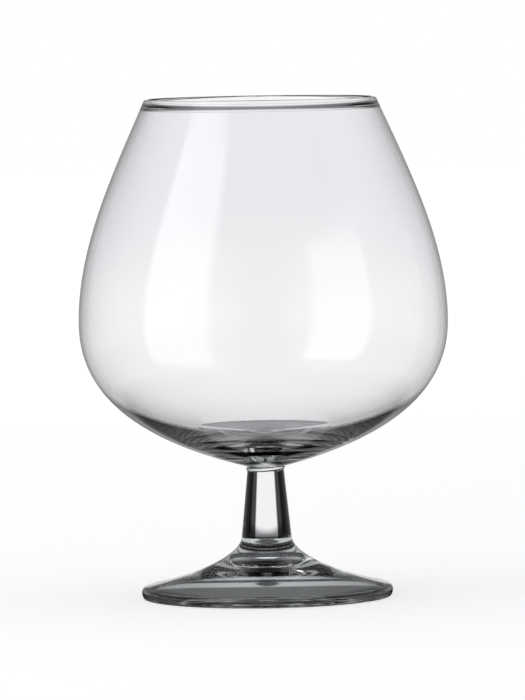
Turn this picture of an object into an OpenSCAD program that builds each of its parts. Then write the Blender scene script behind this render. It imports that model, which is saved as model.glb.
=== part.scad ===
// Brandy snifter: a wide blown bowl, welded to a short stem that stands on a pressed round foot.
// Millimetres, +Z up. The origin is the middle of the foot's resting plane, on the axis of the glass.
// Every piece is turned round the Z axis, and the pieces meet face to face where the real glass is fused.

/* [Bowl] */
// Height of the bowl, from the weld collar to the top of the rim
bowl_h = 110.6; // [95:0.2:130]
// Outer diameter of the bowl at its widest
bowl_d = 111; // [100:0.5:125]
// Height of the widest place above the weld collar
belly_h = 43.6; // [38:0.2:50]
// Outer diameter of the mouth, at the middle of the rim bead
rim_d = 70.1; // [60:0.1:80]
// Lean of the wall from the vertical where it reaches the rim
rim_lean = 24; // [16:0.5:30]
// Rise of the bowl's underside from the horizontal where it leaves the collar
base_rise = 15; // [8:0.5:22]
// Wall of the bowl at its widest
wall_t = 1.3; // [1:0.05:1.8]
// Wall of the bowl just under the rim bead
rim_wall_t = 1.2; // [0.9:0.05:1.6]
// Thickness of the rounded, fire-polished rim bead
bead_t = 1.8; // [1.7:0.05:2.4]
// Thickness of the glass in the middle of the bowl's heavy bottom
floor_t = 7; // [6.5:0.1:8]
// Diameter of the nearly flat floor inside the bowl
floor_d = 41.6; // [38:0.2:46]
// Rise of that floor from its middle to its edge
floor_rise = 0.7; // [0.4:0.1:1.5]
// Slope of that floor at its edge, from the horizontal
floor_slope = 4; // [2:0.5:8]
// Slope of the inner wall where it meets the floor's edge
floor_wall_slope = 17; // [14:0.5:22]

/* [Weld collar] */
// Height of the collar of fused glass between stem and bowl
collar_h = 1.4; // [1:0.1:2.2]
// Diameter of the joint face between collar and bowl
bowl_joint_d = 11.4; // [10:0.1:13]
// How far the collar swells out past its joint faces
collar_swell = 0.25; // [0.1:0.05:0.5]

/* [Stem] */
// Length of the stem, from the foot to the collar
stem_h = 20; // [15:0.5:40]
// Diameter of the stem at its top
stem_top_d = 11; // [9.5:0.1:12.5]
// Diameter of the stem where it meets the foot
stem_base_d = 15; // [13:0.1:17]

/* [Foot] */
// Height of the foot, from the table to the stem
foot_h = 18; // [14:0.5:22]
// Diameter of the foot at its edge
foot_d = 75.5; // [66:0.5:86]
// Slope of the foot's upper side near its edge, from the horizontal
foot_slope = 11.5; // [7:0.5:15]
// Height of the foot's upper side where its edge starts to round
edge_h = 3.5; // [3:0.1:5]
// Height of the outermost place on the rounded edge
edge_mid_h = 1.8; // [1.4:0.1:2.2]
// How far in from the edge the upper rounding starts
edge_round = 1.3; // [0.8:0.1:2]
// How far in from the edge the resting ring starts
edge_under = 0.9; // [0.5:0.1:1.5]
// Width of the flat resting ring
rest_ring_w = 2.2; // [1.5:0.1:4]
// Height of the dished underside's flat middle above the table
hollow_h = 6; // [5:0.1:6.5]
// Diameter of that flat middle
hollow_d = 36; // [32:0.5:38]
// Slope of the dished underside where it leaves the resting ring, from the horizontal
hollow_slope = 24; // [20:0.5:28]
// Slope of the dished underside where it reaches the flat middle
hollow_top_slope = 18; // [14:0.5:21]
// Diameter of the shallow dimple in the flat middle
dimple_d = 18; // [14:0.2:22]
// Depth of the dimple
dimple_h = 1; // [0.5:0.1:2]
// Slope of the dimple's side, from the horizontal
dimple_slope = 60; // [45:1:75]

/* [Hidden] */

// Segments in one curved stretch of a profile, and round the glass
curve_n = 20;
$fn = 192;

// Heights where the pieces meet, counted from the table
stem_z = foot_h;
collar_z = stem_z + stem_h;
bowl_z = collar_z + collar_h;
belly_z = bowl_z + belly_h;
rim_z = bowl_z + bowl_h;
floor_z = bowl_z + floor_t;
floor_edge_z = floor_z + floor_rise;

// Radii from the diameters
bowl_r = bowl_d / 2;
rim_r = rim_d / 2;
bowl_joint_r = bowl_joint_d / 2;
floor_r = floor_d / 2;
stem_top_r = stem_top_d / 2;
stem_base_r = stem_base_d / 2;
foot_r = foot_d / 2;
hollow_r = hollow_d / 2;
dimple_r = dimple_d / 2;
bead_r = bead_t / 2;

// Pull of the curves at their ends, as shares of the span that each one covers
shoulder_rim_share = 0.36;
shoulder_belly_share = 0.35;
cup_belly_share = 0.6;
cup_base_share = 0.49;
cavity_belly_share = 0.56;
cavity_floor_share = 0.6;
floor_pull_share = 0.35;
neck_share = 0.38;
apron_share = 0.5;
edge_pull_share = 0.55;
hollow_pull_share = 0.33;
dimple_side_share = 0.7;
dome_pull_share = 0.5;
bead_blend_share = 1.6;

// A point on a cubic curve with end points a and d and handles b and c, and the whole curve
function cubic(a, b, c, d, t) =
    a * pow(1 - t, 3) + 3 * b * t * pow(1 - t, 2) + 3 * c * t * t * (1 - t) + d * pow(t, 3);
function curve(a, b, c, d, n = curve_n) = [for (i = [0 : n]) cubic(a, b, c, d, i / n)];

// Points on a circle from one angle to another
function arc(centre, r, from, to, n = curve_n) =
    [for (i = [0 : n]) centre + r * [cos(from + (to - from) * i / n), sin(from + (to - from) * i / n)]];

// A direction in the profile's plane, turned up from the horizontal
function along(angle) = [cos(angle), sin(angle)];

// A profile's points without the ones that repeat where two curves meet
function joined(points) =
    [for (i = [0 : len(points) - 1]) if (i == 0 || points[i] != points[i - 1]) points[i]];

// The rim bead's centre, the wall's direction there and the points where the wall runs into the bead
bead_centre = [rim_r - bead_r, rim_z - bead_r];
wall_out = along(rim_lean);
wall_down = along(rim_lean - 90);
rim_outside = bead_centre + bead_r * wall_out;
rim_inside = bead_centre - bead_r * wall_out;
neck_inside = rim_outside - rim_wall_t * wall_out + bead_t * bead_blend_share * wall_down;

// Outside of the bowl: the underside up to the belly, then the shoulder up to the rim
base_point = [bowl_joint_r, bowl_z];
belly_point = [bowl_r, belly_z];
cup_outside = curve(
    base_point,
    base_point + (bowl_r - bowl_joint_r) * cup_base_share * along(base_rise),
    belly_point - [0, belly_h * cup_belly_share],
    belly_point);
shoulder_h = rim_outside[1] - belly_z;
shoulder_outside = curve(
    belly_point,
    belly_point + [0, shoulder_h * shoulder_belly_share],
    rim_outside + shoulder_h * shoulder_rim_share * wall_down,
    rim_outside);

// Inside of the bowl: from under the bead down to the belly, down to the floor's edge, and across the floor
belly_inside = [bowl_r - wall_t, belly_z];
shoulder_in_h = neck_inside[1] - belly_z;
shoulder_inside = curve(
    neck_inside,
    neck_inside + shoulder_in_h * shoulder_rim_share * wall_down,
    belly_inside + [0, shoulder_in_h * shoulder_belly_share],
    belly_inside);
floor_edge = [floor_r, floor_edge_z];
cup_inside = curve(
    belly_inside,
    belly_inside - [0, (belly_z - floor_edge_z) * cavity_belly_share],
    floor_edge + (belly_inside[0] - floor_r) * cavity_floor_share * along(floor_wall_slope),
    floor_edge);
floor_inside = curve(
    floor_edge,
    floor_edge - floor_r * floor_pull_share * along(floor_slope),
    [floor_r * floor_pull_share, floor_z],
    [0, floor_z]);
bead_over = arc(bead_centre, bead_r, rim_lean, rim_lean + 180);
bead_under = curve(
    rim_inside,
    rim_inside + bead_r * wall_down,
    neck_inside - bead_r * wall_down,
    neck_inside,
    round(curve_n / 2));

module bowl() {
    color("aliceblue", 0.35)
    rotate_extrude()
    polygon(joined(concat(
        [[0, bowl_z]],
        cup_outside,
        shoulder_outside,
        bead_over,
        bead_under,
        shoulder_inside,
        cup_inside,
        floor_inside)));
}

// The collar joins the stem's top face to the bowl's flat bottom, and swells a little between them
module weld_collar() {
    swell_h = collar_h / 3;
    color("lightsteelblue", 0.5)
    rotate_extrude()
    polygon(joined(concat(
        [[0, collar_z]],
        curve(
            [stem_top_r, collar_z],
            [stem_top_r + collar_swell, collar_z + swell_h],
            [bowl_joint_r + collar_swell, bowl_z - swell_h],
            [bowl_joint_r, bowl_z]),
        [[0, bowl_z]])));
}

module stem() {
    color("lightblue", 0.5)
    translate([0, 0, stem_z])
    cylinder(h = stem_h, r1 = stem_base_r, r2 = stem_top_r);
}

// Upper side of the foot: it leaves the stem in the stem's own taper and runs out in a gentle slope
neck_point = [stem_base_r, foot_h];
lip_point = [foot_r - edge_round, edge_h];
stem_taper = [stem_base_r - stem_top_r, -stem_h] / norm([stem_base_r - stem_top_r, stem_h]);
foot_upper = curve(
    neck_point,
    neck_point + (foot_h - edge_h) * neck_share * stem_taper,
    lip_point + (lip_point[0] - stem_base_r) * apron_share * along(180 - foot_slope),
    lip_point);

// The rounded edge, in two stretches that meet at the outermost place
edge_point = [foot_r, edge_mid_h];
rest_outer = [foot_r - edge_under, 0];
edge_upper = curve(
    lip_point,
    lip_point + edge_round * edge_pull_share * along(-foot_slope),
    edge_point + [0, (edge_h - edge_mid_h) * edge_pull_share],
    edge_point);
edge_lower = curve(
    edge_point,
    edge_point - [0, edge_mid_h * edge_pull_share],
    rest_outer + [edge_under * edge_pull_share, 0],
    rest_outer);

// The underside: a flat ring to rest on, a dished stretch up to a flat middle, and a shallow dimple in that
rest_inner = [rest_outer[0] - rest_ring_w, 0];
flat_edge = [hollow_r, hollow_h];
hollow_w = rest_inner[0] - hollow_r;
hollow = curve(
    rest_inner,
    rest_inner + hollow_w * hollow_pull_share * along(180 - hollow_slope),
    flat_edge + hollow_w * hollow_pull_share * along(-hollow_top_slope),
    flat_edge);
dimple_edge = [dimple_r, hollow_h];
dimple = curve(
    dimple_edge,
    dimple_edge + dimple_h * dimple_side_share / sin(dimple_slope) * along(180 - dimple_slope),
    [dimple_r * dome_pull_share, hollow_h + dimple_h],
    [0, hollow_h + dimple_h]);

module foot() {
    color("powderblue", 0.5)
    rotate_extrude()
    polygon(joined(concat([[0, foot_h]], foot_upper, edge_upper, edge_lower, hollow, dimple)));
}

bowl();
weld_collar();
stem();
foot();
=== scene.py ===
"""A clear glass brandy snifter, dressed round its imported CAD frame.

The glass is four pieces fused end to end: bowl, weld collar, stem and foot. Each one is an outline of
Bezier stretches, turned round the glass's axis. Heights and widths come from the frame, and the sizes that
no box can tell, such as the wall and the slopes, are fields of the piece that has them. All lengths are in
metres, and those written here are in millimetres times MM. Angles in fields are in degrees. A field that
ends in share is a share of the size that it is multiplied with, which is mostly the pull of a handle.
"""

from __future__ import annotations

import logging
import math
from dataclasses import dataclass
from enum import Enum

import bpy
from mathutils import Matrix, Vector


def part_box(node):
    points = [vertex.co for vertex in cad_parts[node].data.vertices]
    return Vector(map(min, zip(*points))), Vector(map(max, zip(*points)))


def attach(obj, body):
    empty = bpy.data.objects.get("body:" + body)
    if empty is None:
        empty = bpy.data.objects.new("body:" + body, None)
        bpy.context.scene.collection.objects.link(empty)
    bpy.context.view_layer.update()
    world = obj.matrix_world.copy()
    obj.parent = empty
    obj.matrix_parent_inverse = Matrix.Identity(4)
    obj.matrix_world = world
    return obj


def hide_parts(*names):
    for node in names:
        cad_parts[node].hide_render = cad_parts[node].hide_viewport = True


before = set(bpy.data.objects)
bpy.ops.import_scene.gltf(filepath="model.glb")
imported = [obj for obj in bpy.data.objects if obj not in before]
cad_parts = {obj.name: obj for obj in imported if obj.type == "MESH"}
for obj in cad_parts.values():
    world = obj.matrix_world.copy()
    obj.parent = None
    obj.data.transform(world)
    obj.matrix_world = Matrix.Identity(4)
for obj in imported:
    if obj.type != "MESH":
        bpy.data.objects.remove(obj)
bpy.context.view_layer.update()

LOG = logging.getLogger("snifter")
MM = 0.001
WHITE = "#ffffff"
BLACK = "#000000"

# Pull of a Bezier handle that makes a quarter circle, as a share of the radius
QUARTER_PULL = 0.5523
# Vertices closer than this are one
MERGE = 0.001 * MM
# Faces that meet at less than this angle are shaded smooth
SMOOTH_BELOW = 12
# A face is level when its normal's Z is above this, and at a height when it is nearer to it than the slack
LEVEL = 0.999
HEIGHT_SLACK = 0.01 * MM
# Share of the light that is left after each further turn inside thick glass
LEFT_PER_TURN = 0.92
# The setting at which Layer Weight's Facing is one less the cosine of the angle from square-on
COSINE_BLEND = 0.5
# A new plane is one unit wide, so its object coordinates end here on each side
PLANE_EDGE = 0.5
# The turn that stands a new plane up
UPRIGHT = math.radians(90)

# Settings of the nodes, and the Mix node's sockets for colours
SMOOTH = {"interpolation_type": "SMOOTHSTEP"}
COLOURS = {"data_type": "RGBA"}
MULTIPLY = {"operation": "MULTIPLY"}
MAXIMUM = {"operation": "MAXIMUM"}
MINIMUM = {"operation": "MINIMUM"}
MIX_FACTOR, MIX_FROM, MIX_TO, MIX_RESULT = 0, 6, 7, 2

Colour = tuple[float, float, float, float]
Span = tuple[float, float]
Stops = tuple[tuple[float, str], ...]


def linear(hex_colour: str) -> Colour:
    """Turns an sRGB hex colour into linear light.

    Args:
        hex_colour: The colour as "#rrggbb".

    Returns:
        Red, green, blue and an alpha of one.
    """
    shares = [int(hex_colour[i : i + 2], 16) / 255 for i in (1, 3, 5)]
    red, green, blue = [s / 12.92 if s <= 0.04045 else ((s + 0.055) / 1.055) ** 2.4 for s in shares]
    return red, green, blue, 1.0


def add_node(
    tree: bpy.types.NodeTree,
    kind: str,
    settings: dict[str, object] | None = None,
    inputs: dict[str | int, object] | None = None,
) -> bpy.types.Node:
    """Adds one shader node with its settings and links.

    Args:
        tree: The node tree to add to.
        kind: The node's type name.
        settings: Attribute values of the node.
        inputs: For each input socket, by name or place, a plain value or the output socket to link to it.

    Returns:
        The new node.
    """
    node = tree.nodes.new(kind)
    for name, value in (settings or {}).items():
        setattr(node, name, value)
    for key, value in (inputs or {}).items():
        if isinstance(value, bpy.types.NodeSocket):
            tree.links.new(value, node.inputs[key])
        else:
            node.inputs[key].default_value = value
    return node


def blend(
    tree: bpy.types.NodeTree,
    value: bpy.types.NodeSocket,
    stops: tuple[tuple[float, str | bpy.types.NodeSocket], ...],
) -> bpy.types.NodeSocket:
    """Blends tones smoothly along a value.

    Args:
        tree: The node tree to add to.
        value: The socket that the tones follow.
        stops: Values from low to high, each with its tone, as a hex colour or the socket that carries it.

    Returns:
        The socket that carries the blended tone.
    """
    tones = [linear(tone) if isinstance(tone, str) else tone for _, tone in stops]
    blended = tones[0]
    for (low, _), (high, _), tone in zip(stops, stops[1:], tones[1:]):
        share = add_node(
            tree, "ShaderNodeMapRange", SMOOTH, {"Value": value, "From Min": low, "From Max": high}
        )
        mixed = add_node(
            tree, "ShaderNodeMix", COLOURS, {MIX_FACTOR: share.outputs[0], MIX_FROM: blended, MIX_TO: tone}
        )
        blended = mixed.outputs[MIX_RESULT]
    return blended


def light_left(tree: bpy.types.NodeTree, path: bpy.types.Node) -> bpy.types.NodeSocket:
    """Gives the share of light that is left after a ray's long way to and fro inside thick glass.

    Args:
        tree: The node tree to add to.
        path: The tree's Light Path node.

    Returns:
        The socket that carries the share, which is one for a ray that was mirrored once or never.
    """
    turns = add_node(
        tree, "ShaderNodeMath", {"operation": "SUBTRACT"}, {0: path.outputs["Glossy Depth"], 1: 1.0}
    )
    further = add_node(tree, "ShaderNodeMath", MAXIMUM, {0: turns.outputs[0], 1: 0.0})
    left = add_node(
        tree, "ShaderNodeMath", {"operation": "POWER"}, {0: LEFT_PER_TURN, 1: further.outputs[0]}
    )
    return left.outputs[0]


def was_mirrored(tree: bpy.types.NodeTree, path: bpy.types.Node) -> bpy.types.NodeSocket:
    """Gives one for a ray that the glass has mirrored, and zero for any other.

    Args:
        tree: The node tree to add to.
        path: The tree's Light Path node.

    Returns:
        The socket that carries the answer.
    """
    once = add_node(tree, "ShaderNodeMath", MINIMUM, {0: path.outputs["Glossy Depth"], 1: 1.0})
    return once.outputs[0]


def came_by_glass(tree: bpy.types.NodeTree, path: bpy.types.Node) -> bpy.types.NodeSocket:
    """Gives one for a ray that comes on from the glass, and zero for one from the camera or the matt floor.

    Args:
        tree: The node tree to add to.
        path: The tree's Light Path node.

    Returns:
        The socket that carries the answer.
    """
    either = add_node(
        tree,
        "ShaderNodeMath",
        MAXIMUM,
        {0: path.outputs["Is Glossy Ray"], 1: path.outputs["Is Transmission Ray"]},
    )
    return either.outputs[0]


def along(angle: float) -> Vector:
    """Gives the direction in the outline's plane at an angle up from the horizontal."""
    return Vector((math.cos(math.radians(angle)), math.sin(math.radians(angle))))


@dataclass(frozen=True)
class Stretch:
    """One cubic stretch of an outline: its ends and the two handles that pull it, as (radius, height)."""

    start: Vector
    pull_start: Vector
    pull_end: Vector
    end: Vector

    @classmethod
    def straight(cls, start: Vector, end: Vector) -> Stretch:
        """Gives the straight stretch between two points."""
        return cls(start, start.lerp(end, 1 / 3), start.lerp(end, 2 / 3), end)

    @classmethod
    def quarter(cls, centre: Vector, radius: float, angle: float) -> Stretch:
        """Gives a quarter circle, turned anticlockwise.

        Args:
            centre: The circle's middle.
            radius: The circle's radius.
            angle: Where the quarter starts, up from the horizontal.

        Returns:
            The stretch that follows the quarter circle.
        """
        first, second = along(angle), along(angle + 90)
        start, end = centre + radius * first, centre + radius * second
        pull = radius * QUARTER_PULL
        return cls(start, start + pull * second, end + pull * first, end)


class Coat(Enum):
    """The two ways a face of the glass is finished."""

    OPEN_AIR = 0
    FUSED = 1


@dataclass(frozen=True)
class PaintedEdgeShade:
    """A painted shade, set by the angle of view, that darkens the glass where it turns away from the eye.

    Attributes:
        painted_shade_hex: The painted shade: what a ray keeps there when it crosses the surface.
        starts: One less the cosine of the angle from square-on at which the tone starts.
        full: The same for where it is full.
    """

    painted_shade_hex: str
    starts: float
    full: float


@dataclass(frozen=True)
class Waves:
    """Faint waves that forming left in the surface.

    Attributes:
        length: Spacing of the waves.
        height: Height of the waves.
        stretch: How many times longer they are along the axis than round it.
        detail: How many finer sets of waves ride on them.
    """

    length: float
    height: float
    stretch: float = 1.0
    detail: float = 1.0

    def normal(self, tree: bpy.types.NodeTree) -> bpy.types.NodeSocket:
        """Adds the waves to a material.

        Args:
            tree: The material's node tree.

        Returns:
            The socket that carries the waved normal.
        """
        place = add_node(tree, "ShaderNodeTexCoord")
        scale = 1 / self.length
        spread = add_node(
            tree,
            "ShaderNodeMapping",
            inputs={"Vector": place.outputs["Object"], "Scale": (scale, scale, scale / self.stretch)},
        )
        noise = add_node(
            tree,
            "ShaderNodeTexNoise",
            inputs={"Vector": spread.outputs[0], "Scale": 1.0, "Detail": self.detail},
        )
        bump = add_node(tree, "ShaderNodeBump", inputs={"Height": noise.outputs[0], "Distance": self.height})
        return bump.outputs[0]


@dataclass(frozen=True)
class GlassFinish:
    """A clear glass, from how its surface was made.

    Attributes:
        name: The material's name, in a glassmaker's words.
        clear_hex: What a ray keeps when it crosses the surface squarely.
        edge: A painted shade at grazing angles, standing in for the dark sides of the room that the real glass
            shows there.
        waves: The waves in the surface.
        shine_hex: Tint of what the surface mirrors squarely. White leaves it as bright as the index gives.
        shadow_hex: What lamp light keeps on its way through to the floor.
        ior: Index of refraction.
    """

    name: str
    clear_hex: str
    edge: PaintedEdgeShade | None = None
    waves: Waves | None = None
    shine_hex: str = WHITE
    shadow_hex: str = "#dfe3e4"
    ior: float = 1.52

    def material(self) -> bpy.types.Material:
        """Makes the material.

        Returns:
            A smooth refracting glass that lets lamp light through to the floor.
        """
        made = bpy.data.materials.new(self.name)
        made.use_nodes = True
        tree = made.node_tree
        tree.nodes.clear()
        shine = {
            "Base Color": self.tone(tree),
            "Roughness": 0.0,
            "IOR": self.ior,
            "Transmission Weight": 1.0,
            "Specular Tint": linear(self.shine_hex),
        }
        if self.waves:
            shine["Normal"] = self.waves.normal(tree)
        glass = add_node(tree, "ShaderNodeBsdfPrincipled", inputs=shine)
        lamp_light = add_node(tree, "ShaderNodeBsdfTransparent", inputs={"Color": linear(self.shadow_hex)})
        path = add_node(tree, "ShaderNodeLightPath")
        mixed = add_node(
            tree,
            "ShaderNodeMixShader",
            inputs={0: path.outputs["Is Shadow Ray"], 1: glass.outputs[0], 2: lamp_light.outputs[0]},
        )
        add_node(tree, "ShaderNodeOutputMaterial", inputs={"Surface": mixed.outputs[0]})
        return made

    def tone(self, tree: bpy.types.NodeTree) -> Colour | bpy.types.NodeSocket:
        """Gives what a ray keeps when it crosses the surface, darkened at grazing angles by any painted edge
        shade.

        Args:
            tree: The material's node tree.

        Returns:
            The clear tone, or the socket that carries it and the painted edge shade.
        """
        if self.edge is None:
            return linear(self.clear_hex)
        # The edge's tone is a painted shade: darker where the surface turns away from the view
        facing = add_node(tree, "ShaderNodeLayerWeight", inputs={"Blend": COSINE_BLEND})
        stops = ((self.edge.starts, self.clear_hex), (self.edge.full, self.edge.painted_shade_hex))
        return blend(tree, facing.outputs["Facing"], stops)


@dataclass(frozen=True)
class FusedFinish:
    """The face where two pieces of glass were fused into one: nothing is left to see there."""

    name: str = "fused glass joint"

    def material(self) -> bpy.types.Material:
        """Makes the material.

        Returns:
            A surface that lets every ray pass straight on into the next piece.
        """
        made = bpy.data.materials.new(self.name)
        made.use_nodes = True
        shader = made.node_tree.nodes["Principled BSDF"]
        shader.inputs["Alpha"].default_value = 0.0
        return made


# Blown in a mould and fire-polished: dead smooth and colourless. It mirrors a little less than its index
# gives, so the eye sees a clear wall, soft highlights and a thin dark line where the wall turns away.
BLOWN = GlassFinish("blown soda-lime glass", "#fefeff", shine_hex="#dddedf")
# Fused at the joint: clear, but ringed and slightly uneven where the hot glass was drawn together, with a grey
# painted shade where it turns away from the eye.
FUSED = GlassFinish(
    "fused soda-lime glass",
    "#f4f6f6",
    edge=PaintedEdgeShade("#4a4d4e", starts=0.2, full=0.8),
    waves=Waves(length=4 * MM, height=0.02 * MM),
)
# Drawn solid: bright only where one looks squarely through it, and near black along both sides, where a
# painted shade by view angle darkens it. It mirrors little of the room.
DRAWN = GlassFinish(
    "drawn soda-lime glass",
    "#f1f2f3",
    edge=PaintedEdgeShade("#0c0d0d", starts=0.09, full=0.125),
    waves=Waves(length=6 * MM, height=0.002 * MM, stretch=12.0),
    shine_hex=BLACK,
)
# Pressed and fire-polished: thick and clear, with a slightly wavy surface that breaks up what shows through.
PRESSED = GlassFinish("pressed soda-lime glass", "#f2f4f5", waves=Waves(length=20 * MM, height=0.015 * MM))


@dataclass
class TurnedPiece:
    """A piece of glass that is turned round the Z axis.

    Attributes:
        name: The piece's name.
        node: The CAD node that it stands for.
        slot: The record's material slot. It is not used.
        finish: The glass it is made of.
        fused_heights: Heights of its flat faces that are fused to a neighbour.
        turn_steps: Segments round the axis.
        curve_steps: Segments in one stretch of the outline.
    """

    name: str
    node: str
    slot: str
    finish: GlassFinish
    fused_heights: tuple[float, ...] = ()
    turn_steps: int = 224
    curve_steps: int = 28

    @property
    def low(self) -> Vector:
        """Gives the CAD node's lowest corner."""
        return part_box(self.node)[0]

    @property
    def high(self) -> Vector:
        """Gives the CAD node's highest corner."""
        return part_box(self.node)[1]

    def outline(self) -> list[Stretch]:
        """Gives the outline's stretches in order, from the axis round the section and back to the axis."""
        raise NotImplementedError

    def build(self) -> bpy.types.Object:
        """Models the piece and gives it its finish, body and place in the frame.

        Returns:
            The finished mesh object.
        """
        piece = self.turn(self.draw())
        self.shape(piece)
        self.dress(piece)
        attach(piece, "root")
        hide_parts(self.node)
        LOG.info("%s: %d faces, %.1f mm tall", piece.name, len(piece.data.polygons), piece.dimensions.z / MM)
        return piece

    def draw(self) -> bpy.types.Object:
        """Draws the outline as a Bezier curve in the XZ plane.

        Returns:
            The curve object.
        """
        stretches = self.outline()
        bpy.ops.object.select_all(action="DESELECT")
        bpy.ops.curve.primitive_bezier_curve_add(location=(0, 0, 0))
        curve = bpy.context.object
        curve.data.dimensions = "3D"
        curve.data.resolution_u = self.curve_steps
        bpy.ops.object.mode_set(mode="EDIT")
        bpy.ops.curve.select_all(action="SELECT")
        bpy.ops.curve.subdivide(number_cuts=len(stretches) - 1)
        bpy.ops.object.mode_set(mode="OBJECT")
        knots = curve.data.splines[0].bezier_points
        ends = [stretches[0].start] + [s.end for s in stretches]
        before = [stretches[0].start] + [s.pull_end for s in stretches]
        after = [s.pull_start for s in stretches] + [stretches[-1].end]
        for knot, end, left, right in zip(knots, ends, before, after):
            knot.handle_left_type = knot.handle_right_type = "FREE"
            knot.co = (end.x, 0, end.y)
            knot.handle_left = (left.x, 0, left.y)
            knot.handle_right = (right.x, 0, right.y)
        return curve

    def turn(self, curve: bpy.types.Object) -> bpy.types.Object:
        """Spins the outline into a closed mesh.

        Args:
            curve: The outline's curve object.

        Returns:
            The mesh object, named and smooth-shaded, with its origin at the frame's origin.
        """
        bpy.context.view_layer.objects.active = curve
        bpy.ops.object.convert(target="MESH")
        piece = bpy.context.object
        piece.name = self.name
        piece.data.name = self.name
        bpy.ops.object.mode_set(mode="EDIT")
        bpy.ops.mesh.select_all(action="SELECT")
        bpy.ops.mesh.remove_doubles(threshold=MERGE)
        bpy.ops.mesh.spin(steps=self.turn_steps, angle=math.tau, center=(0, 0, 0), axis=(0, 0, 1))
        bpy.ops.mesh.select_all(action="SELECT")
        bpy.ops.mesh.remove_doubles(threshold=MERGE)
        bpy.ops.mesh.normals_make_consistent(inside=False)
        bpy.ops.object.mode_set(mode="OBJECT")
        bpy.ops.object.shade_smooth_by_angle(angle=math.radians(SMOOTH_BELOW))
        return piece

    def shape(self, piece: bpy.types.Object) -> None:
        """Works the piece further after it is turned. A plain turned piece needs nothing."""

    def dress(self, piece: bpy.types.Object) -> None:
        """Gives the faces in the open air the piece's glass, and the fused faces the open joint.

        Args:
            piece: The mesh object.
        """
        for finish in (self.finish, FusedFinish()):
            known = bpy.data.materials.get(finish.name)
            piece.data.materials.append(known or finish.material())
        edges: dict[Coat, set[tuple[int, int]]] = {Coat.OPEN_AIR: set(), Coat.FUSED: set()}
        for face in piece.data.polygons:
            level = abs(face.normal.z) > LEVEL
            fused = level and any(abs(face.center.z - z) < HEIGHT_SLACK for z in self.fused_heights)
            coat = Coat.FUSED if fused else Coat.OPEN_AIR
            face.material_index = coat.value
            edges[coat].update(face.edge_keys)
        for edge in piece.data.edges:
            if edge.key in edges[Coat.FUSED] and edge.key in edges[Coat.OPEN_AIR]:
                edge.use_edge_sharp = True


@dataclass
class Bowl(TurnedPiece):
    """The blown bowl: a heavy, nearly flat bottom, a wide belly, straight shoulders and a rounded rim bead.

    Attributes:
        belly_height: Height of the widest place above the joint with the collar.
        rim_radius: Outer radius of the mouth, at the middle of the bead.
        joint_radius: Radius of the joint face.
        rim_lean: Lean of the wall from the vertical where it reaches the rim.
        base_rise: Rise of the underside from the horizontal where it leaves the joint.
        wall: Wall at the widest place.
        rim_wall: Wall just under the bead.
        bead: Thickness of the bead.
        floor: Thickness of the glass in the middle of the bottom.
        floor_radius: Radius of the nearly flat floor inside.
        floor_rise: Rise of that floor from its middle to its edge.
        floor_slope: Slope of that floor at its edge.
        floor_wall_slope: Slope of the inner wall where it meets the floor's edge.
    """

    name: str = "bowl_blown"
    node: str = "bowl"
    slot: str = "blown_glass"
    finish: GlassFinish = BLOWN
    turn_steps: int = 192
    curve_steps: int = 52
    belly_height: float = 43.6 * MM
    rim_radius: float = 35.05 * MM
    joint_radius: float = 5.7 * MM
    rim_lean: float = 24.0
    base_rise: float = 15.0
    wall: float = 1.3 * MM
    rim_wall: float = 1.2 * MM
    bead: float = 1.8 * MM
    floor: float = 7.0 * MM
    floor_radius: float = 20.8 * MM
    floor_rise: float = 0.7 * MM
    floor_slope: float = 4.0
    floor_wall_slope: float = 17.0
    shoulder_rim_share: float = 0.36
    shoulder_belly_share: float = 0.35
    cup_belly_share: float = 0.6
    cup_base_share: float = 0.49
    cavity_belly_share: float = 0.56
    cavity_floor_share: float = 0.6
    floor_pull_share: float = 0.35
    bead_blend_share: float = 1.6

    def outline(self) -> list[Stretch]:
        """Draws the wall all the way round.

        Returns:
            The outside from the joint up, the bead, and the inside down and across the floor.
        """
        base_z, rim_z, belly_r = self.low.z, self.high.z, self.high.x
        belly_z, floor_z = base_z + self.belly_height, base_z + self.floor
        out, down = along(self.rim_lean), along(self.rim_lean - 90)
        bead_r = self.bead / 2
        bead_centre = Vector((self.rim_radius - bead_r, rim_z - bead_r))
        rim_outside, rim_inside = bead_centre + bead_r * out, bead_centre - bead_r * out
        neck = rim_outside - self.rim_wall * out + self.bead * self.bead_blend_share * down
        base, belly = Vector((self.joint_radius, base_z)), Vector((belly_r, belly_z))
        belly_inside = belly - Vector((self.wall, 0))
        shoulder, shoulder_in = rim_outside.y - belly_z, neck.y - belly_z
        floor_edge = Vector((self.floor_radius, floor_z + self.floor_rise))
        floor_pull = self.floor_radius * self.floor_pull_share
        base_pull = (belly_r - self.joint_radius) * self.cup_base_share
        wall_pull = (belly_inside.x - self.floor_radius) * self.cavity_floor_share
        return [
            Stretch.straight(Vector((0, base_z)), base),
            Stretch(
                base,
                base + base_pull * along(self.base_rise),
                belly - Vector((0, self.belly_height * self.cup_belly_share)),
                belly,
            ),
            Stretch(
                belly,
                belly + Vector((0, shoulder * self.shoulder_belly_share)),
                rim_outside + shoulder * self.shoulder_rim_share * down,
                rim_outside,
            ),
            Stretch.quarter(bead_centre, bead_r, self.rim_lean),
            Stretch.quarter(bead_centre, bead_r, self.rim_lean + 90),
            Stretch(rim_inside, rim_inside + bead_r * down, neck - bead_r * down, neck),
            Stretch(
                neck,
                neck + shoulder_in * self.shoulder_rim_share * down,
                belly_inside + Vector((0, shoulder_in * self.shoulder_belly_share)),
                belly_inside,
            ),
            Stretch(
                belly_inside,
                belly_inside - Vector((0, (belly_z - floor_edge.y) * self.cavity_belly_share)),
                floor_edge + wall_pull * along(self.floor_wall_slope),
                floor_edge,
            ),
            Stretch(
                floor_edge,
                floor_edge - floor_pull * along(self.floor_slope),
                Vector((floor_pull, floor_z)),
                Vector((0, floor_z)),
            ),
        ]


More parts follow.
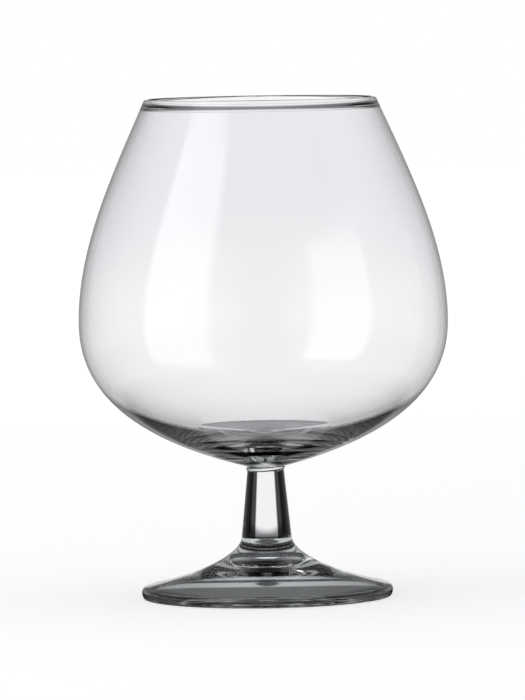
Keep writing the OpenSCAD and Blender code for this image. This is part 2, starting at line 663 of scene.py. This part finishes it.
@dataclass
class WeldCollar(TurnedPiece):
    """The ring of fused glass between stem and bowl, a little askew as the weld left it.

    Attributes:
        stem_radius: Radius of the joint face with the stem.
        bowl_radius: Radius of the joint face with the bowl.
        swell: How far the handles swell out past the joint faces.
        askew: How far the middle of the swelling is tilted.
        askew_share: Share of the collar's height that is tilted.
    """

    name: str = "weld_collar_fused"
    node: str = "weld_collar"
    slot: str = "fused_glass"
    finish: GlassFinish = FUSED
    stem_radius: float = 5.5 * MM
    bowl_radius: float = 5.7 * MM
    swell: float = 0.25 * MM
    askew: float = 3.0
    askew_share: float = 0.4

    def outline(self) -> list[Stretch]:
        """Draws the collar's side between its two joint faces.

        Returns:
            The lower face, the swelling side and the upper face.
        """
        low_z, high_z = self.low.z, self.high.z
        third = (high_z - low_z) / 3
        bottom, top = Vector((self.stem_radius, low_z)), Vector((self.bowl_radius, high_z))
        return [
            Stretch.straight(Vector((0, low_z)), bottom),
            Stretch(bottom, bottom + Vector((self.swell, third)), top + Vector((self.swell, -third)), top),
            Stretch.straight(top, Vector((0, high_z))),
        ]

    def shape(self, piece: bpy.types.Object) -> None:
        """Tilts the middle of the swelling a little, as the weld was drawn.

        Args:
            piece: The mesh object.
        """
        middle, reach = (self.low.z + self.high.z) / 2, (self.high.z - self.low.z) * self.askew_share / 2
        for vertex in piece.data.vertices:
            vertex.select = abs(vertex.co.z - middle) < reach and vertex.co.xy.length > self.stem_radius / 2
        bpy.ops.object.mode_set(mode="EDIT")
        bpy.ops.mesh.select_mode(type="VERT")
        bpy.ops.transform.rotate(
            value=math.radians(self.askew), orient_axis="Y", center_override=(0, 0, middle)
        )
        bpy.ops.mesh.select_all(action="DESELECT")
        bpy.ops.object.mode_set(mode="OBJECT")


@dataclass
class Stem(TurnedPiece):
    """The solid, slightly conical stem.

    Attributes:
        top_radius: Radius of its top face, where the frame gives that of its lower one.
    """

    name: str = "stem_drawn"
    node: str = "stem"
    slot: str = "stem_glass"
    finish: GlassFinish = DRAWN
    top_radius: float = 5.5 * MM

    def outline(self) -> list[Stretch]:
        """Draws the taper between the two joint faces.

        Returns:
            The lower face, the side and the upper face.
        """
        bottom, top = Vector((self.high.x, self.low.z)), Vector((self.top_radius, self.high.z))
        return [
            Stretch.straight(Vector((0, bottom.y)), bottom),
            Stretch.straight(bottom, top),
            Stretch.straight(top, Vector((0, top.y))),
        ]


@dataclass
class Foot(TurnedPiece):
    """The pressed foot: a flared upper side, a rounded edge, a resting ring and a dished, dimpled underside.

    Attributes:
        neck_radius: Radius of the joint face with the stem.
        neck_taper: How much the radius grows for each length down, where the flare leaves the stem.
        slope: Slope of the upper side near the edge.
        edge_height: Height of the upper side where the edge starts to round.
        edge_middle: Height of the outermost place on the edge.
        edge_round: How far in from the edge the upper rounding starts.
        edge_under: How far in from the edge the resting ring starts.
        ring_width: Width of the flat resting ring.
        hollow_height: Height of the underside's flat middle.
        hollow_radius: Radius of that flat middle.
        hollow_slope: Slope of the dished underside where it leaves the ring.
        hollow_top_slope: Slope of it where it reaches the flat middle.
        dimple_radius: Radius of the shallow dimple in the flat middle.
        dimple_height: Depth of the dimple.
        dimple_slope: Slope of the dimple's side.
    """

    name: str = "foot_pressed"
    node: str = "foot"
    slot: str = "pressed_glass"
    finish: GlassFinish = PRESSED
    neck_radius: float = 7.5 * MM
    neck_taper: float = 0.1
    slope: float = 11.5
    edge_height: float = 3.5 * MM
    edge_middle: float = 1.8 * MM
    edge_round: float = 1.3 * MM
    edge_under: float = 0.9 * MM
    ring_width: float = 2.2 * MM
    hollow_height: float = 6.0 * MM
    hollow_radius: float = 18.0 * MM
    hollow_slope: float = 24.0
    hollow_top_slope: float = 18.0
    dimple_radius: float = 9.0 * MM
    dimple_height: float = 1.0 * MM
    dimple_slope: float = 60.0
    neck_share: float = 0.38
    apron_share: float = 0.5
    edge_pull_share: float = 0.55
    hollow_pull_share: float = 0.33
    dimple_side_share: float = 0.7
    dome_pull_share: float = 0.5

    def outline(self) -> list[Stretch]:
        """Draws the foot from its underside up.

        Returns:
            The underside from the dimple out, the resting ring, the edge, the flare and the joint face.
        """
        foot_r, top_z = self.high.x, self.high.z
        neck, lip = Vector((self.neck_radius, top_z)), Vector((foot_r - self.edge_round, self.edge_height))
        edge, ring_out = Vector((foot_r, self.edge_middle)), Vector((foot_r - self.edge_under, 0))
        ring_in = ring_out - Vector((self.ring_width, 0))
        flat_edge = Vector((self.hollow_radius, self.hollow_height))
        dimple_edge = Vector((self.dimple_radius, self.hollow_height))
        dimple_top = Vector((0, self.hollow_height + self.dimple_height))
        taper = Vector((self.neck_taper, -1)).normalized()
        dish_pull = (ring_in.x - self.hollow_radius) * self.hollow_pull_share
        side_pull = self.dimple_height * self.dimple_side_share / math.sin(math.radians(self.dimple_slope))
        over_edge = (self.edge_height - self.edge_middle) * self.edge_pull_share
        return [
            Stretch(
                dimple_top,
                dimple_top + Vector((self.dimple_radius * self.dome_pull_share, 0)),
                dimple_edge + side_pull * along(180 - self.dimple_slope),
                dimple_edge,
            ),
            Stretch.straight(dimple_edge, flat_edge),
            Stretch(
                flat_edge,
                flat_edge + dish_pull * along(-self.hollow_top_slope),
                ring_in + dish_pull * along(180 - self.hollow_slope),
                ring_in,
            ),
            Stretch.straight(ring_in, ring_out),
            Stretch(
                ring_out,
                ring_out + Vector((self.edge_under * self.edge_pull_share, 0)),
                edge - Vector((0, self.edge_middle * self.edge_pull_share)),
                edge,
            ),
            Stretch(
                edge,
                edge + Vector((0, over_edge)),
                lip + self.edge_round * self.edge_pull_share * along(-self.slope),
                lip,
            ),
            Stretch(
                lip,
                lip + (lip.x - self.neck_radius) * self.apron_share * along(180 - self.slope),
                neck + (top_z - self.edge_height) * self.neck_share * taper,
                neck,
            ),
            Stretch.straight(neck, Vector((0, top_z))),
        ]


@dataclass(frozen=True)
class Softbox:
    """A tall soft light panel beside the glass, reaching well below the height of the table.

    Attributes:
        name: What the panel is called.
        azimuth: Direction in which the panel's plane is nearest, from the camera's side to the right.
        distance: How far that plane is from the glass.
        reach: Where the panel's two upright edges are, along the plane from its nearest place.
        low: Height of its lower edge.
        high: Height of its upper edge.
        glow: How bright its face looks in the glass, where white paper in the scene is one.
        light: How bright it is as a lamp, on the same scale.
        soft: Width of the upper and upright edges over which its face fades out.
        soft_below: The same for its lower edge.
    """

    name: str = "softbox"
    azimuth: float = -38.0
    distance: float = 700 * MM
    reach: Span = (-640 * MM, 120 * MM)
    low: float = -480 * MM
    high: float = 860 * MM
    glow: float = 1.9
    light: float = 0.52
    soft: float = 120 * MM
    soft_below: float = 240 * MM

    def place(self) -> None:
        """Sets up the panel's face, which the glass reflects, and the lamp in it, which lights the floor."""
        turn = math.radians(self.azimuth)
        toward = Vector((math.sin(turn), -math.cos(turn), 0))
        sideways = Vector((math.cos(turn), math.sin(turn), 0))
        width, height = self.reach[1] - self.reach[0], self.high - self.low
        centre = toward * self.distance + sideways * sum(self.reach) / 2
        centre.z = (self.low + self.high) / 2
        bpy.ops.mesh.primitive_plane_add(size=1, location=centre, rotation=(UPRIGHT, 0, turn))
        face = bpy.context.object
        face.name = f"{self.name}_face"
        face.scale = (width, height, 1)
        face.visible_camera = face.visible_diffuse = face.visible_shadow = False
        face.data.materials.append(self.face_material(width, height))
        centre.z = self.high / 2
        bpy.ops.object.light_add(type="AREA", location=centre, rotation=(UPRIGHT, 0, turn))
        lamp = bpy.context.object
        lamp.name = f"{self.name}_lamp"
        lamp.data.shape = "RECTANGLE"
        lamp.data.size, lamp.data.size_y = width, self.high
        lamp.data.energy = self.light * math.pi * width * self.high
        lamp.visible_camera = lamp.visible_glossy = lamp.visible_transmission = False

    def face_material(self, width: float, height: float) -> bpy.types.Material:
        """Makes the glowing face, which only shows in reflections.

        Args:
            width: The panel's width.
            height: The panel's height.

        Returns:
            The material.
        """
        made = bpy.data.materials.new(f"{self.name} diffuser")
        made.use_nodes = True
        tree = made.node_tree
        tree.nodes.clear()
        path = add_node(tree, "ShaderNodeLightPath")
        place = add_node(tree, "ShaderNodeTexCoord")
        axes = add_node(tree, "ShaderNodeSeparateXYZ", inputs={0: place.outputs["Object"]})
        off_centre = add_node(tree, "ShaderNodeMath", {"operation": "ABSOLUTE"}, {0: axes.outputs["X"]})
        shown = was_mirrored(tree, path)
        for value, edge, fade in (
            (off_centre.outputs[0], PLANE_EDGE, -self.soft / width),
            (axes.outputs["Y"], PLANE_EDGE, -self.soft / height),
            (axes.outputs["Y"], -PLANE_EDGE, self.soft_below / height),
        ):
            step = add_node(
                tree,
                "ShaderNodeMapRange",
                SMOOTH,
                {"Value": value, "From Min": edge, "From Max": edge + fade},
            )
            both = add_node(tree, "ShaderNodeMath", MULTIPLY, {0: step.outputs[0], 1: shown})
            shown = both.outputs[0]
        strength = add_node(tree, "ShaderNodeMath", MULTIPLY, {0: light_left(tree, path), 1: self.glow})
        glow = add_node(
            tree, "ShaderNodeEmission", inputs={"Color": linear(WHITE), "Strength": strength.outputs[0]}
        )
        clear = add_node(tree, "ShaderNodeBsdfTransparent")
        mixed = add_node(
            tree, "ShaderNodeMixShader", inputs={0: shown, 1: clear.outputs[0], 2: glow.outputs[0]}
        )
        add_node(tree, "ShaderNodeOutputMaterial", inputs={"Surface": mixed.outputs[0]})
        return made


@dataclass(frozen=True)
class Surround:
    """The room round the glass, as tones that follow how far a direction points up: -1 is down and 1 is up.

    To the camera it is white. Straight through the glass it is white where the view is level. What the glass
    mirrors is a darker room with a narrow pale backdrop, because clear glass shows by what it mirrors.

    Attributes:
        straight: Tones seen straight through the glass.
        front: Tones mirrored from the camera's side.
        rear: Tones mirrored from behind the glass.
        beside: Tones mirrored from the left and the right.
        backdrop: Tones of the backdrop, as the glass mirrors it.
        front_to_rear: Where front turns to rear, as the direction's share along Y.
        middle_to_side: Where these two turn to the sides, as its share along X.
        backdrop_edge: Where the backdrop takes over, as its share along Y. It is so narrow that a thin dark
            line of the room shows beside it where the bowl's wall turns away.
        backdrop_foot: Height of the direction at which the backdrop starts.
        light_hex: The even tone that lights the floor.
    """

    straight: Stops = ((0.10, "#f7f8f9"), (0.22, "#808183"), (0.42, "#2c2d2f"))
    front: Stops = ((-0.9, "#707172"), (-0.1, "#696a6b"), (0.2, "#4a4b4c"), (0.6, "#303132"))
    rear: Stops = (
        (-0.9, "#b4b5b6"), (-0.35, "#c2c3c4"), (-0.1, "#828385"), (0.12, "#6e6f71"), (0.45, "#1c1d1e")
    )
    beside: Stops = (
        (-0.9, "#b4b5b6"), (-0.3, "#c2c3c4"), (0.08, "#bcbdbe"), (0.35, "#5c5d5e"), (0.6, "#303132")
    )
    backdrop: Stops = ((0.12, "#f7f8f9"), (0.24, "#b0b1b2"), (0.32, "#606162"), (0.45, "#1c1d1e"))
    front_to_rear: Span = (-0.1, 0.4)
    middle_to_side: Span = (0.1, 0.45)
    backdrop_edge: Span = (0.985, 0.998)
    backdrop_foot: Span = (-0.12, -0.05)
    light_hex: str = "#bcbdbe"

    def build(self, scene: bpy.types.Scene) -> None:
        """Makes the room the scene's world.

        Args:
            scene: The scene.
        """
        world = bpy.data.worlds.new("studio surround")
        scene.world = world
        world.use_nodes = True
        tree = world.node_tree
        tree.nodes.clear()
        path = add_node(tree, "ShaderNodeLightPath")
        place = add_node(tree, "ShaderNodeTexCoord")
        axes = add_node(tree, "ShaderNodeSeparateXYZ", inputs={0: place.outputs["Generated"]})
        sideways = add_node(tree, "ShaderNodeMath", {"operation": "ABSOLUTE"}, {0: axes.outputs["X"]})
        straight, front, rear, beside, backdrop = [
            blend(tree, axes.outputs["Z"], stops)
            for stops in (self.straight, self.front, self.rear, self.beside, self.backdrop)
        ]
        room = front
        for value, (low, high), tone in (
            (axes.outputs["Y"], self.front_to_rear, rear),
            (sideways.outputs[0], self.middle_to_side, beside),
        ):
            room = blend(tree, value, ((low, room), (high, tone)))
        at_edge, past_edge = self.backdrop_edge
        at_foot, above_foot = self.backdrop_foot
        beyond = blend(tree, axes.outputs["Y"], ((at_edge, room), (past_edge, backdrop)))
        mirrored = blend(tree, axes.outputs["Z"], ((at_foot, room), (above_foot, beyond)))
        by_glass = blend(tree, was_mirrored(tree, path), ((0.0, straight), (1.0, mirrored)))
        unseen = blend(tree, came_by_glass(tree, path), ((0.0, self.light_hex), (1.0, by_glass)))
        tone = blend(tree, path.outputs["Is Camera Ray"], ((0.0, unseen), (1.0, WHITE)))
        light = add_node(
            tree, "ShaderNodeBackground", inputs={"Color": tone, "Strength": light_left(tree, path)}
        )
        add_node(tree, "ShaderNodeOutputWorld", inputs={"Surface": light.outputs[0]})


@dataclass(frozen=True)
class Floor:
    """The pale floor: to the camera near white with the glass's shadow, and to the glass a set of tones.

    The tones are painted shade and shadow that the thick glass shows from the table. Under the foot the table
    is painted dimmer in front than behind, with a painted shadow of the stem in that. Just outside the foot a
    painted dark ring stands for the glass's shadow, and further out it is open and pale. A mirrored ray that
    comes down further out still goes on into the room.

    Attributes:
        size: Side of the square.
        sink: How far it lies below the resting ring, so that no two faces share a plane.
        paint_hex: Colour of its paint.
        lift: How much brighter than its paint the camera sees it, near the glass and far off.
        lift_reach: Distances from the axis over which that changes.
        under_foot_shade: Painted shade under the foot, by place along Y, darker in front.
        stem_shadow_hex: Tone of the dim spot, a painted shadow of the stem.
        stem_shadow_scale: The scale that makes a circle of the long, narrow spot.
        stem_shadow_shift: Where that circle's middle then has to move to along Y.
        stem_shadow_edge: Radii between which the spot ends, at that scale.
        foot_edge: Distances from the axis over which the tones under the foot end.
        straight: Tones outside the foot that show straight through the glass, by distance from the axis. Their
            dark
        ring near the foot is a painted shadow.
        mirrored: Tones there that the glass mirrors, dark near the foot as a painted shadow.
        table_end: Distances from the axis over which mirrored rays start to pass the table.
    """

    size: float = 8.0
    sink: float = 0.02 * MM
    paint_hex: str = "#e8e8e8"
    lift: Span = (0.55, 0.75)
    lift_reach: Span = (200 * MM, 2500 * MM)
    # Painted shade under the foot, darker in front, and a painted shadow of the stem behind the axis
    under_foot_shade: Stops = ((-9 * MM, "#7c7d7e"), (-2 * MM, "#cfd0d1"))
    stem_shadow_hex: str = "#5e5f60"
    stem_shadow_scale: tuple[float, float, float] = (2.6, 0.5, 1.0)
    stem_shadow_shift: float = -8 * MM
    stem_shadow_edge: Span = (7 * MM, 12 * MM)
    foot_edge: Span = (30 * MM, 36 * MM)
    # Dark from 45 to about 95 mm: a painted shadow ring of the glass on the table
    straight: Stops = (
        (45 * MM, "#1a1a1a"),
        (70 * MM, "#808183"),
        (95 * MM, "#8c8d8f"),
        (112 * MM, WHITE),
        (800 * MM, WHITE),
        (3900 * MM, "#f7f8f9"),
    )
    # Dark out to 100 mm: the painted shadow ring, as the glass mirrors it
    mirrored: Stops = ((45 * MM, "#1a1a1a"), (60 * MM, "#4c4d4e"), (100 * MM, "#505152"))
    table_end: Span = (100 * MM, 150 * MM)

    def build(self) -> None:
        """Lays the floor."""
        bpy.ops.mesh.primitive_plane_add(size=self.size, location=(0, 0, -self.sink))
        ground = bpy.context.object
        ground.name = "floor"
        made = bpy.data.materials.new("pale matt floor")
        made.use_nodes = True
        tree = made.node_tree
        tree.nodes.clear()
        path = add_node(tree, "ShaderNodeLightPath")
        place = add_node(tree, "ShaderNodeTexCoord").outputs["Object"]
        away = add_node(tree, "ShaderNodeVectorMath", {"operation": "LENGTH"}, {0: place}).outputs["Value"]
        mixed = add_node(
            tree,
            "ShaderNodeMixShader",
            inputs={
                0: came_by_glass(tree, path),
                1: self.paint(tree, path, away),
                2: self.glow(tree, path, place, away),
            },
        )
        add_node(tree, "ShaderNodeOutputMaterial", inputs={"Surface": mixed.outputs[0]})
        ground.data.materials.append(made)

    def paint(
        self, tree: bpy.types.NodeTree, path: bpy.types.Node, away: bpy.types.NodeSocket
    ) -> bpy.types.NodeSocket:
        """Adds the painted floor, lifted to near white for the camera.

        Args:
            tree: The material's node tree.
            path: The tree's Light Path node.
            away: The socket that carries the distance from the axis.

        Returns:
            The shader's socket.
        """
        paint = add_node(tree, "ShaderNodeBsdfDiffuse", inputs={"Color": linear(self.paint_hex)})
        spread = add_node(
            tree,
            "ShaderNodeMapRange",
            SMOOTH,
            {
                "Value": away,
                "From Min": self.lift_reach[0],
                "From Max": self.lift_reach[1],
                "To Min": self.lift[0],
                "To Max": self.lift[1],
            },
        )
        lift = add_node(
            tree, "ShaderNodeEmission", inputs={"Color": linear(WHITE), "Strength": spread.outputs[0]}
        )
        lifted = add_node(tree, "ShaderNodeAddShader", inputs={0: paint.outputs[0], 1: lift.outputs[0]})
        seen = add_node(
            tree,
            "ShaderNodeMixShader",
            inputs={0: path.outputs["Is Camera Ray"], 1: paint.outputs[0], 2: lifted.outputs[0]},
        )
        return seen.outputs[0]

    def glow(
        self,
        tree: bpy.types.NodeTree,
        path: bpy.types.Node,
        place: bpy.types.NodeSocket,
        away: bpy.types.NodeSocket,
    ) -> bpy.types.NodeSocket:
        """Adds the tones that the glass sees, with the painted shade and shadows round the foot.

        Args:
            tree: The material's node tree.
            path: The tree's Light Path node.
            place: The socket that carries the place on the floor.
            away: The socket that carries the distance from the axis.

        Returns:
            The shader's socket.
        """
        axes = add_node(tree, "ShaderNodeSeparateXYZ", inputs={0: place})
        # Painted shade under the foot, darker in front
        under_foot_shade = blend(tree, axes.outputs["Y"], self.under_foot_shade)
        # A long, narrow painted shadow of the stem, behind the axis
        squeezed = add_node(
            tree,
            "ShaderNodeMapping",
            inputs={"Vector": place, "Location": (0, self.stem_shadow_shift, 0), "Scale": self.stem_shadow_scale},
        )
        from_stem_shadow = add_node(tree, "ShaderNodeVectorMath", {"operation": "LENGTH"}, {0: squeezed.outputs[0]})
        in_stem_shadow, past_stem_shadow = self.stem_shadow_edge
        inner = blend(tree, from_stem_shadow.outputs["Value"], ((in_stem_shadow, self.stem_shadow_hex), (past_stem_shadow, under_foot_shade)))
        under_foot, past_foot = self.foot_edge
        # Outside the foot, dark rings are a painted shadow of the glass on the table
        straight, mirrored = [
            blend(tree, away, ((under_foot, inner), (past_foot, blend(tree, away, outer))))
            for outer in (self.straight, self.mirrored)
        ]
        turned = was_mirrored(tree, path)
        tone = blend(tree, turned, ((0.0, straight), (1.0, mirrored)))
        glow = add_node(
            tree, "ShaderNodeEmission", inputs={"Color": tone, "Strength": light_left(tree, path)}
        )
        past_table = add_node(
            tree,
            "ShaderNodeMapRange",
            SMOOTH,
            {"Value": away, "From Min": self.table_end[0], "From Max": self.table_end[1]},
        )
        passed = add_node(tree, "ShaderNodeMath", MULTIPLY, {0: turned, 1: past_table.outputs[0]})
        clear = add_node(tree, "ShaderNodeBsdfTransparent")
        seen = add_node(
            tree,
            "ShaderNodeMixShader",
            inputs={0: passed.outputs[0], 1: glow.outputs[0], 2: clear.outputs[0]},
        )
        return seen.outputs[0]


@dataclass
class Studio:
    """The plain studio: a pale floor, one tall softbox, the room that the glass mirrors, and the camera.

    Attributes:
        surround: The room.
        floor: The floor.
        softbox: The light panel.
        bounces: How many surfaces one ray may meet, which thick glass needs many of.
        mirror_bounces: How many of them may mirror it.
        open_bounces: How many fully transparent surfaces it may pass.
        camera_distance: How far the camera stands from the glass's axis.
        camera_height: The camera's height above the floor.
        aim: The point on the glass that the picture is centred on.
        camera_roll: How far the camera is turned about its view.
        lens_mm: Focal length for a 36 mm sensor, in the lens's own millimetres.
        sight: How far the camera sees.
    """

    surround: Surround = Surround()
    floor: Floor = Floor()
    softbox: Softbox = Softbox()
    bounces: int = 48
    mirror_bounces: int = 40
    open_bounces: int = 32
    camera_distance: float = 1982 * MM
    camera_height: float = 193.1 * MM
    aim: tuple[float, float, float] = (-0.38 * MM, 0.0, 74.3 * MM)
    camera_roll: float = 0.9
    lens_mm: float = 340.0
    sight: float = 100.0

    def build(self) -> None:
        """Sets up the view transform, light paths, room, floor, softbox and camera."""
        scene = bpy.context.scene
        scene.view_settings.view_transform = "Standard"
        scene.cycles.max_bounces = scene.cycles.transmission_bounces = self.bounces
        scene.cycles.glossy_bounces = self.mirror_bounces
        scene.cycles.transparent_max_bounces = self.open_bounces
        self.surround.build(scene)
        self.floor.build()
        self.softbox.place()
        self.camera(scene)

    def camera(self, scene: bpy.types.Scene) -> None:
        """Sets the camera up at the photograph's viewing angle.

        Args:
            scene: The scene that it becomes the camera of.
        """
        aim = Vector(self.aim)
        place = Vector((0, -self.camera_distance, self.camera_height))
        bpy.ops.object.camera_add(location=place)
        camera = bpy.context.object
        camera.name = "camera"
        camera.data.lens = self.lens_mm
        camera.data.clip_end = self.sight
        camera.rotation_euler = (aim - place).to_track_quat("-Z", "Y").to_euler()
        camera.rotation_euler.rotate_axis("Z", math.radians(-self.camera_roll))
        scene.camera = camera


def main() -> None:
    """Builds the glass piece by piece, then the studio."""
    logging.basicConfig(level=logging.INFO, format="%(name)s: %(message)s")
    foot_top, stem_top, collar_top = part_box("foot")[1].z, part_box("stem")[1].z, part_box("weld_collar")[1].z
    Foot(fused_heights=(foot_top,)).build()
    Stem(fused_heights=(foot_top, stem_top)).build()
    WeldCollar(fused_heights=(stem_top, collar_top)).build()
    Bowl(fused_heights=(collar_top,)).build()
    Studio().build()


if __name__ == "__main__":
    main()
